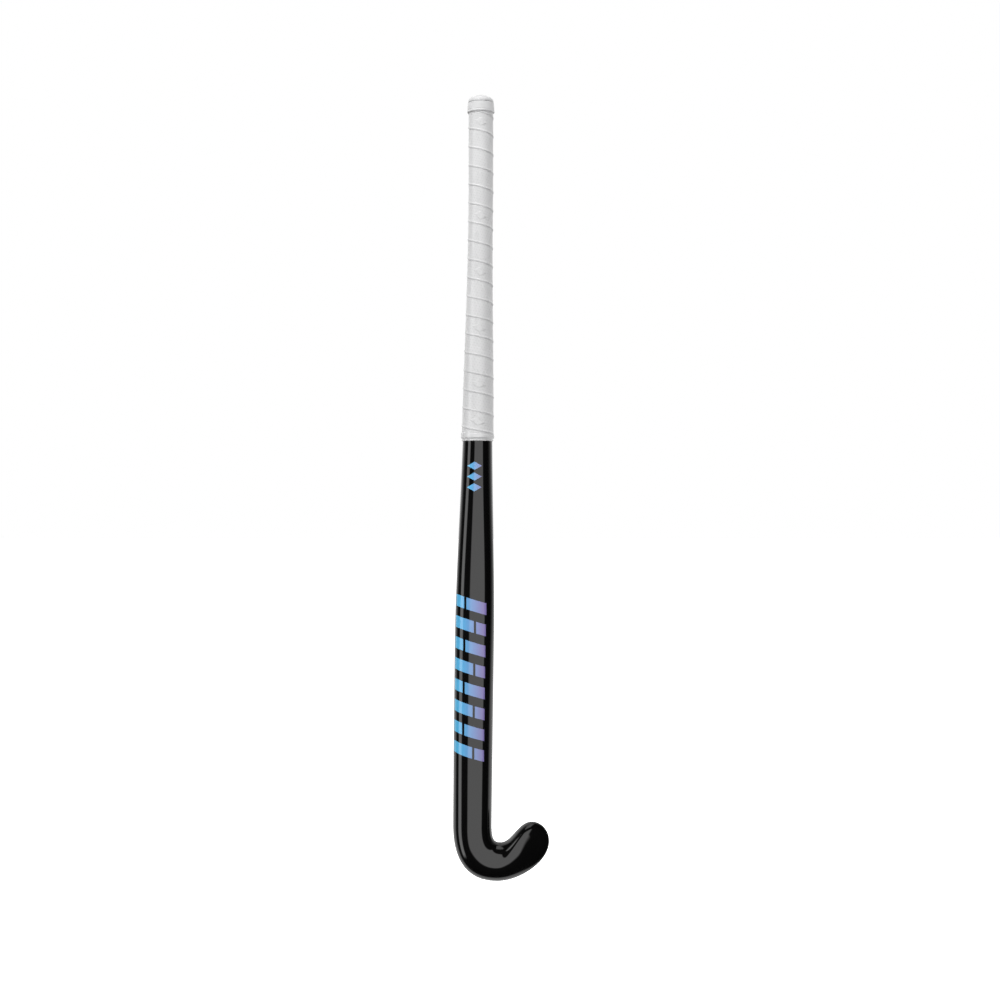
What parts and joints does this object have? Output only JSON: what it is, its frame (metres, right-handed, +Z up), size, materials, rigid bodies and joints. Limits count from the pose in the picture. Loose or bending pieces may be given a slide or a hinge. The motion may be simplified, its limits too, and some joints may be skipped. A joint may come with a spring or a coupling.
{
  "type": "field hockey stick",
  "caption": "Composite field hockey stick with a J-shaped head, flat playing face, rounded back, bowed shaft and wound grip.",
  "frame": {"origin": "on the handle's axis where the upper hand holds the grip, 60 mm below the butt end", "axes": "+Z up the handle to the butt end, +X towards the toe, +Y out of the flat playing face"},
  "size_m": [0.1143, 0.0585, 0.927],
  "materials": {
    "lacquer": "gloss black lacquer over carbon and glass laminate",
    "bare_laminate": "bare moulded laminate",
    "core_foam": "rigid foam",
    "damping_foam": "soft foam",
    "plug": "moulded",
    "weight": "plain steel",
    "cap": "satin light grey",
    "underwrap": "thin foam-backed fabric",
    "grip": "soft satin polyurethane, perforated and embossed",
    "band": "smooth elastic tape",
    "film": "printed transfer film under clear lacquer"
  },
  "bodies": {
    "root": {"composite_shell": "lacquer", "head_core": "core_foam", "rib_tube_heel": "bare_laminate", "rib_tube_toe": "bare_laminate", "handle_foam_heel": "damping_foam", "handle_foam_toe": "damping_foam", "butt_plug": "plug", "balance_weight": "weight", "end_cap": "cap", "cushion_underwrap": "underwrap", "grip_tape": "grip", "top_collar": "band", "finishing_tape": "band", "graphic_film_large": "film", "graphic_film_small": "film"}
  },
  "joints": []
}
